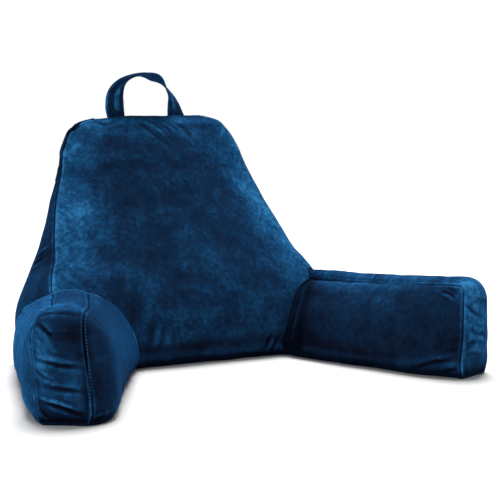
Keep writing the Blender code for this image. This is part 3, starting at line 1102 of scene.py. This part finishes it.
def stitches(tree, line, nap):
    """Short threads in a row along a line on a skin."""
    run = lengths_along(line)
    sewn = Surface()
    for start in np.arange(0.5 * THREAD_GAP, run[-1] - THREAD_LENGTH, THREAD_LENGTH + THREAD_GAP):
        at = start, start + THREAD_LENGTH
        ends = points_of(*(np.interp(at, run, axis) for axis in line.T))
        middle = ends.mean(axis=0)
        normal = np.array(tree.find_nearest(middle)[1])
        ahead = unit(ends[1] - ends[0])
        side = np.cross(normal, ahead) * THREAD_RADIUS
        stations = np.linspace(-0.5, 0.5, 4)
        full = np.array([0.3, 1.0, 1.0, 0.3])
        centre = middle + ahead * (stations * THREAD_LENGTH)[:, None]
        centre = centre + normal * (THREAD_RADIUS * 0.4)
        corners = np.array([side, normal * THREAD_RADIUS, -side, -normal * THREAD_RADIUS])
        index = sewn.add(centre[:, None] + corners[None] * full[:, None, None])
        sewn.tube(index)
        sewn.close_ends(index)
    sewn.nap = np.full(len(sewn.points), nap)
    return sewn


def sewn_threads(tree, rows):
    return [stitches(tree, on_skin(tree, path), nap) for nap, *path in rows]


def join(piece, extras):
    """Adds small sewn forms to a piece."""
    build = bmesh.new()
    build.from_mesh(piece.data)
    layer = build.verts.layers.float["nap"]
    for extra in extras:
        corners = []
        for point, nap in zip(extra.points, extra.nap):
            corner = build.verts.new(point)
            corner[layer] = nap
            corners.append(corner)
        for quad in extra.quads():
            build.faces.new([corners[i] for i in quad]).smooth = True
    build.to_mesh(piece.data)
    build.free()


def stand(skin):
    """Flattens what would reach into the floor."""
    skin.points[:, 2] = np.maximum(skin.points[:, 2], 0.0)


def make_piece(name, skin, material):
    mesh = bpy.data.meshes.new(name)
    mesh.from_pydata(skin.points.tolist(), [], skin.quads().tolist())
    mesh.materials.append(material)
    mesh.shade_smooth()
    if skin.nap is not None:
        mesh.attributes.new("nap", "FLOAT", "POINT").data.foreach_set("value", skin.nap)
    return link(name, mesh)


# --- materials
def fill(node, values):
    """Sets a node's sockets."""
    for socket, value in values.items():
        node.inputs[socket].default_value = value


def add(tree, kind, values, wires):
    """A node with these values on its sockets, and these outputs wired to others."""
    node = tree.nodes.new("ShaderNode" + kind)
    fill(node, values)
    wire(tree, node, wires)
    return node


def wire(tree, node, wires):
    for socket, output in wires.items():
        tree.links.new(output, node.inputs[socket])


def velour(name, tones, sheen):
    """Brushed velour: a mottled nap over a dark ground, with a soft sheen. Its colour follows
    the painted highlights and painted shade laid into the mesh.
    """
    material = bpy.data.materials.new(name)
    material.use_nodes = True
    tree = material.node_tree
    where = tree.nodes.new("ShaderNodeTexCoord").outputs["Object"]

    def noise_at(scale, detail, rough, distortion=0.0):
        values = {"Scale": scale, "Detail": detail, "Roughness": rough, "Distortion": distortion}
        return add(tree, "TexNoise", values, {"Vector": where}).outputs["Fac"]

    def remap(value, low, high, to_low, to_high):
        values = {"From Min": low, "From Max": high, "To Min": to_low, "To Max": to_high}
        return add(tree, "MapRange", values, {"Value": value}).outputs["Result"]

    def combine(kind, first, second):
        node = add(tree, "Math", {}, {0: first, 1: second})
        node.operation = kind
        return node.outputs["Value"]

    patches = remap(noise_at(16, 3, 0.55, 0.4), 0.3, 0.7, 0.0, 1.0)
    marks = remap(noise_at(95, 5, 0.68, 0.3), 0.3, 0.7, 0.0, 1.0)
    fibres = remap(noise_at(620, 2, 0.6), 0.25, 0.75, 0.0, 1.0)
    # the attribute holds the nap together with painted highlights and painted shade
    nap = tree.nodes.new("ShaderNodeAttribute")
    nap.attribute_name = "nap"
    laid = combine("MULTIPLY", nap.outputs["Fac"], remap(patches, 0, 1, 0.86, 1.12))
    laid = combine("MULTIPLY", laid, remap(marks, 0, 1, 0.74, 1.24))
    laid = combine("ADD", laid, remap(fibres, 0, 1, -0.05, 0.05))
    ramp = add(tree, "ValToRGB", {}, {"Fac": laid})
    stops = ramp.color_ramp.elements
    last = len(tones) - 1
    for place in range(1, last):
        stops.new(place / last)
    for place, colour in enumerate(tones):
        stops[place].position = place / last
        stops[place].color = (*colour, 1)
    height = combine("ADD", marks, remap(patches, 0, 1, 0, 1.4))
    brushed = add(tree, "Bump", {"Strength": 0.35, "Distance": 0.0022}, {"Height": height})
    wires = {"Height": fibres, "Normal": brushed.outputs["Normal"]}
    pile = add(tree, "Bump", {"Strength": 0.5, "Distance": 0.0006}, wires)
    shader = tree.nodes["Principled BSDF"]
    fill(shader, {
        "Specular IOR Level": 0.002, "Sheen Weight": sheen, "Sheen Roughness": 0.40,
        "Sheen Tint": (*SHEEN_BLUE, 1),
    })
    wire(tree, shader, {
        "Base Color": ramp.outputs["Color"], "Roughness": remap(marks, 0, 1, 0.74, 0.94),
        "Normal": pile.outputs["Normal"],
    })
    return material


# --- strap
def strap_route(count):
    known = np.arange(len(STRAP_BENDS))
    at = np.linspace(0, known[-1], count)
    x, y, z, turn = (smooth_curve(known, column, at) for column in np.transpose(STRAP_BENDS))
    return points_of(x, y, z), np.radians(turn)


def top_height(tree, x, y):
    """How high the back cushion's top reaches near a place."""
    drop = Vector((0, 0, -1))
    hits = [tree.ray_cast(Vector((x, y + aside, 0.6)), drop)[0] for aside in FOOT_SPOTS]
    return max(hit.z for hit in hits if hit is not None)


def strap_surface(tree):
    """The folded band, thicker along its two sewn edges and creased lengthwise."""
    across = STRAP_ACROSS
    centre, turn = strap_route(STRAP_LONG)
    shares = np.linspace(0, 1, STRAP_LONG)
    ahead = np.gradient(centre, axis=0)
    ahead[0] = (0, 0, 1)
    ahead[-1] = (0, 0, -1)
    ahead = unit(ahead)
    lean = STRAP_LEAN * hump(shares, STRAP_LEAN_PLACE, STRAP_LEAN_REACH)
    wide = points_of(np.cos(turn), np.sin(turn), lean)
    wide = unit(wide - ahead * dots(wide, ahead)[:, None])
    thick = np.cross(ahead, wide)
    u = np.linspace(-1, 1, across)
    run = shares[:, None]
    rim = hump(np.abs(u), STRAP_RIM, 0.1)
    stitched = hump(np.abs(u), STRAP_STITCH, 0.05)
    half = STRAP_THICKNESS / 2 * (0.72 + 0.28 * rim - 0.3 * stitched)
    half = half * np.sqrt(np.maximum(0, 1 - np.maximum(0, (np.abs(u) - 0.93) / 0.07) ** 2))
    legs = hump(run, 0.14, 0.13) + 0.5 * hump(run, 0.85, 0.1)
    bow = STRAP_BOW * np.sin(u * 5.2 + 2.5 * run) * legs
    bow = bow + 0.0012 * (1 - u**2) * np.sin(run * 9)
    bow = bow * smoothstep(0.0, 0.06, run) * smoothstep(0.0, 0.06, 1 - run)
    middle = centre[:, None] + wide[:, None] * (u * STRAP_WIDTH / 2)[None, :, None]
    for which, near in ((0, 1 - shares), (-1, shares)):
        foot = middle[which].copy()
        lift = [top_height(tree, x, y) + STRAP_CLEARANCE - z for x, y, z in foot]
        middle[..., 2] += smoothstep(0.6, 1.0, near)[:, None] * np.array(lift)
    front = middle + thick[:, None] * (bow + half)[..., None]
    rear = middle + thick[:, None] * (bow - half)[..., None]
    skin = Surface()
    index = skin.add(np.concatenate([front, rear[:, ::-1]], axis=1))
    skin.tube(index)
    for row in (index[0], index[-1]):
        skin.faces.append(grid_quads(points_of(row[:across], row[across:][::-1])))
    skin.seal()
    # painted highlights on the strap's thick sewn edges and on its raised bows
    nap = 0.40 + 0.24 * rim + 0.40 * np.clip(bow / STRAP_BOW, 0, 1) ** 2
    skin.nap = np.concatenate([nap, nap[:, ::-1]], axis=1).ravel()
    return skin


# --- studio
WORLD_LIGHT = 0.30
CEILING_LIGHT = 4.6
CEILING_TILT = radians(-18)
CEILING_TURN = radians(-30)
KEY_LIGHT = 16
CEILING_SOFTNESS = radians(36)
RIM_LIGHT = 18
FLOOR_REACH = 14.0
FLOOR_GREY = (0.72, 0.72, 0.72, 1)
WHITE = (1, 1, 1, 1)


def area_light(name, place, aim, size, power):
    light = bpy.data.lights.new(name, "AREA")
    light.shape = "RECTANGLE"
    light.size, light.size_y = size
    light.energy = power
    holder = link(name, light)
    holder.location = place
    holder.rotation_euler = (Vector(place) - Vector(aim)).to_track_quat("Z", "Y").to_euler()


def make_studio():
    floor_mesh = bpy.data.meshes.new("floor")
    edge = FLOOR_REACH
    corners = [(-edge, -edge, 0), (edge, -edge, 0), (edge, edge, 0), (-edge, edge, 0)]
    floor_mesh.from_pydata(corners, [], [(0, 1, 2, 3)])
    floor = link("floor", floor_mesh)
    paint = bpy.data.materials.new("pale_floor")
    paint.use_nodes = True
    fill(paint.node_tree.nodes["Principled BSDF"], {
        "Base Color": FLOOR_GREY, "Roughness": 0.8, "Specular IOR Level": 0.1,
    })
    floor_mesh.materials.append(paint)

    world = bpy.data.worlds.new("studio")
    world.use_nodes = True
    tree = world.node_tree
    seen = tree.nodes["Background"]
    fill(seen, {"Color": WHITE, "Strength": 1.0})
    cast = add(tree, "Background", {"Color": WHITE, "Strength": WORLD_LIGHT}, {})
    which = add(tree, "MixShader", {}, {
        "Fac": tree.nodes.new("ShaderNodeLightPath").outputs["Is Camera Ray"],
        1: cast.outputs["Background"], 2: seen.outputs["Background"],
    })
    wire(tree, tree.nodes["World Output"], {"Surface": which.outputs["Shader"]})
    bpy.context.scene.world = world
    ceiling = bpy.data.lights.new("ceiling", "SUN")
    ceiling.energy = CEILING_LIGHT
    ceiling.angle = CEILING_SOFTNESS
    link("ceiling", ceiling).rotation_euler = (CEILING_TILT, 0, CEILING_TURN)
    area_light("key", (-2.0, -2.6, 2.0), (0, -0.1, 0.2), (1.2, 1.2), KEY_LIGHT)
    area_light("rim_right", (2.2, 1.3, 1.1), (0, 0, 0.2), (1.0, 1.4), RIM_LIGHT)
    area_light("rim_left", (-2.4, 0.9, 1.1), (0, 0, 0.2), (1.0, 1.4), RIM_LIGHT / 2)
    bpy.context.scene.view_settings.view_transform = "Standard"


# --- dressing
# The velour's colour, from the darkest painted shade to the brightest painted highlight,
# with nap brushed away from and towards the light.
VELOUR_TONES = (
    (0.0022, 0.0020, 0.0050),
    (0.0042, 0.0068, 0.0180),
    (0.0056, 0.0240, 0.0650),
    (0.0092, 0.0690, 0.1800),
    (0.0270, 0.1760, 0.3900),
)
SHEEN_BLUE = (0.02, 0.28, 0.80)
BACK_SEED = 11
ARM_SEED = 31
SEAT_CLEARANCE = 0.0003


def dress_back(material):
    skin = back_surface()
    skin.points[:, 2] += slump(skin.points[:, 0], skin.points[:, 2])
    swell(skin, "back_cushion", voxel=0.007, cap=0.008, held_reach=0.012)
    lump(skin, size=0.09, height=0.0035, seed=3.0)
    lump(skin, size=0.035, height=0.0010, seed=8.0)
    round_edges(skin)
    sew(skin, BACK_SEED)
    crease(skin, BACK_CREASES)
    stand(skin)
    paint_nap_and_light(skin, BACK_PAINTED_LIGHT_BANDS, BACK_PAINTED_LIGHT_STROKES)
    piece = make_piece("back_cover", skin, material)
    join(piece, sewn_threads(skin.tree(), BACK_THREADS))
    return skin, piece


def seat_against(piece, cutter):
    cut = piece.modifiers.new("seat", "BOOLEAN")
    cut.operation = "DIFFERENCE"
    cut.solver = "MANIFOLD"
    cut.object = cutter
    mesh = applied_mesh(piece)
    piece.modifiers.clear()
    old = piece.data
    piece.data = mesh
    bpy.data.meshes.remove(old)


def dress_arm(arm, material, cutter, back_tree):
    skin, lanes = arm_surface(arm)
    swell(skin, arm.name, voxel=0.005, cap=0.007, held_reach=0.010)
    lump(skin, size=0.07, height=0.0025, seed=5.0 + arm.side)
    lump(skin, size=0.03, height=0.0009, seed=9.0 + arm.side)
    round_edges(skin)
    sew(skin, ARM_SEED + arm.side, arm.seam_depth)
    crease(skin, arm.creases)
    gather(skin, arm)
    stand(skin)
    paint_nap_and_light(skin, ARM_PAINTED_LIGHT_BANDS, arm.strokes, arm.groove)
    piece = make_piece(arm.name + "_cover", skin, material)
    seat_against(piece, cutter)
    tree = skin.tree()
    # the welt's colour is a painted highlight on one arm and painted shade on the other
    sewn = [welt(skin, lanes[ARM_BEND:], back_tree, arm.welt_painted_light)]
    sewn += sewn_threads(tree, arm.threads)
    if arm.end_thread:
        beside_seam = skin.panels["end"][0][-2, END_THREAD]
        sewn.append(stitches(tree, skin.points[beside_seam], 1.0))
    join(piece, sewn)
    return piece


def main():
    make_camera()
    make_studio()
    cover = velour("velour_cover", VELOUR_TONES, 0.18)
    strap_cloth = velour("velour_strap", VELOUR_TONES, 0.15)
    skin, back = dress_back(cover)
    clearance = Surface()
    clearance.points = skin.points + skin.normals() * SEAT_CLEARANCE
    clearance.faces = skin.faces
    cutter = make_piece("clearance", clearance, cover)
    back_tree = skin.tree()
    for arm in ARMS:
        piece = dress_arm(arm, cover, cutter, back_tree)
        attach(piece, "root")
        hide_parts(arm.name)
    bpy.data.objects.remove(cutter, do_unlink=True)
    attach(back, "root")
    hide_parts("back_cushion")
    strap = make_piece("strap_band", strap_surface(back_tree), strap_cloth)
    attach(strap, "root")
    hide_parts("handle_strap")


main()
